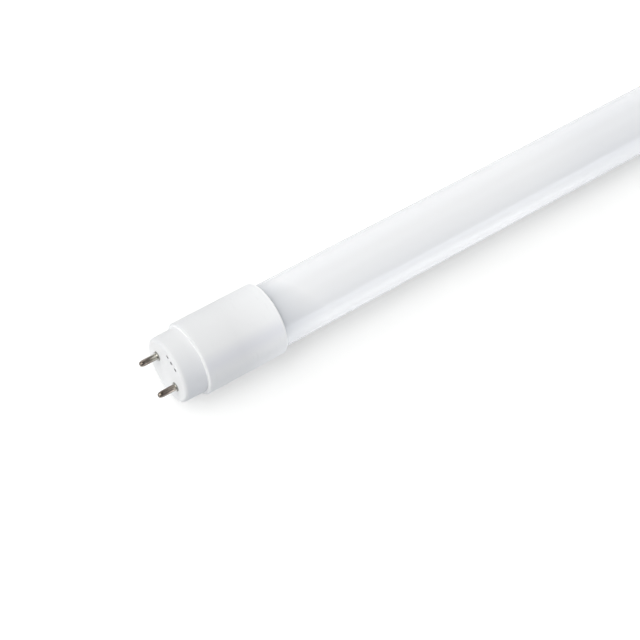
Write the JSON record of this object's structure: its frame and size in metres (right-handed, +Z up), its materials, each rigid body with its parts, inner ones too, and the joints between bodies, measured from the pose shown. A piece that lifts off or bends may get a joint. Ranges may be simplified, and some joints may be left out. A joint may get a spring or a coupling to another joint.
{
  "type": "led tube",
  "caption": "T8 LED tube: milky glass tube with stepped white end caps, round two-pin contacts and vented end faces, its LED board and driver inside.",
  "frame": {"origin": "on the surface that the lamp lies on, under the middle of its length", "axes": "+X along the tube, away from the driver's end; +Y along the line through a cap's two pins; +Z up, out of the LED board's lit face"},
  "size_m": [0.604, 0.028, 0.028],
  "materials": {
    "milky_glass": "glossy glass tube with a milky white light-spreading coat; no light passes straight through",
    "cap_plastic": "white moulded polycarbonate, fine satin texture",
    "pin_nickel": "drawn brass with a warm grey nickel plating",
    "board_aluminium": "aluminium strip with a white solder mask on its upper face",
    "silicone": "white cured silicone",
    "led_housing": "white housing round a yellow phosphor cup",
    "board_laminate": "glass-fibre laminate with a green solder mask",
    "component_black": "black moulded bodies and sleeves",
    "component_lacquer": "blue dipped lacquer",
    "ferrite": "dark grey sintered ferrite",
    "copper": "enamelled copper wire",
    "liner_film": "thin white polyester film",
    "lead_insulation": "white lead insulation with tinned ends"
  },
  "bodies": {
    "root": {"bridge_rectifier": "component_black", "chip_resistors": "component_black", "driver_board": "board_laminate", "driver_chip": "component_black", "electrolytic_capacitor": "component_black", "far_end_cap": "cap_plastic", "far_left_pin": "pin_nickel", "far_link_wire": "lead_insulation", "far_right_pin": "pin_nickel", "far_sealant": "silicone", "film_capacitor": "component_lacquer", "fuse_resistor": "component_lacquer", "glass_tube": "milky_glass", "inductor_core": "ferrite", "inductor_winding": "copper", "insulating_liner": "liner_film", "led_board": "board_aluminium", "led_board_bed": "silicone", "led_packages": "led_housing", "line_lead": "lead_insulation", "link_header": "component_black", "link_header_pins": "pin_nickel", "near_end_cap": "cap_plastic", "near_left_pin": "pin_nickel", "near_right_pin": "pin_nickel", "near_sealant": "silicone", "neutral_lead": "lead_insulation", "output_diode": "component_black", "varistor": "component_lacquer"}
  },
  "joints": []
}
